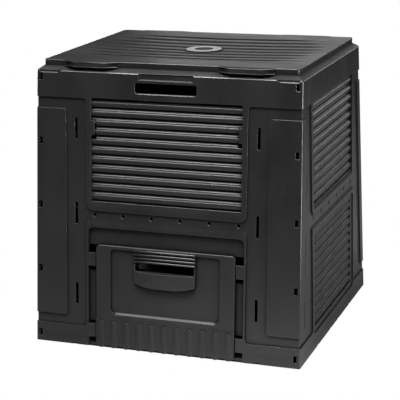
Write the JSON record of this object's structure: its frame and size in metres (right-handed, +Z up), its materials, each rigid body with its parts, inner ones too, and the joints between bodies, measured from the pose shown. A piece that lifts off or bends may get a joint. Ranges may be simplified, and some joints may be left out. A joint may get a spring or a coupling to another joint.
{
  "type": "compost bin",
  "caption": "Leaning-walled garden compost bin of slatted plastic panels, with a lift-off lid and a front hatch that slides up to be freed.",
  "frame": {"origin": "on the ground under the middle of the bin", "axes": "+Z up, the hatch faces -Y, +X to the right of someone facing the hatch"},
  "size_m": [0.79, 0.7635, 0.807],
  "materials": {
    "panel": "satin",
    "hatch": "satin",
    "lid": "satin",
    "badge": "satin"
  },
  "bodies": {
    "bin": {"front_wall": "panel", "rear_wall": "panel", "left_wall": "panel", "right_wall": "panel", "left_vent_panel": "panel", "right_vent_panel": "panel", "rear_vent_panel": "panel"},
    "hatch": {"hatch": "hatch", "hatch_handle": "hatch"},
    "lid": {"lid": "lid", "lid_badge": "badge"}
  },
  "joints": [
    {"name": "hatch_lift", "type": "slide", "parent": "bin", "child": "hatch", "axis": [0, 0.0843, 0.9964], "range_m": [0, 0.045]},
    {"name": "lid_lift", "type": "slide", "parent": "bin", "child": "lid", "axis": [0, 0, 1], "range_m": [0, 0.15]}
  ]
}
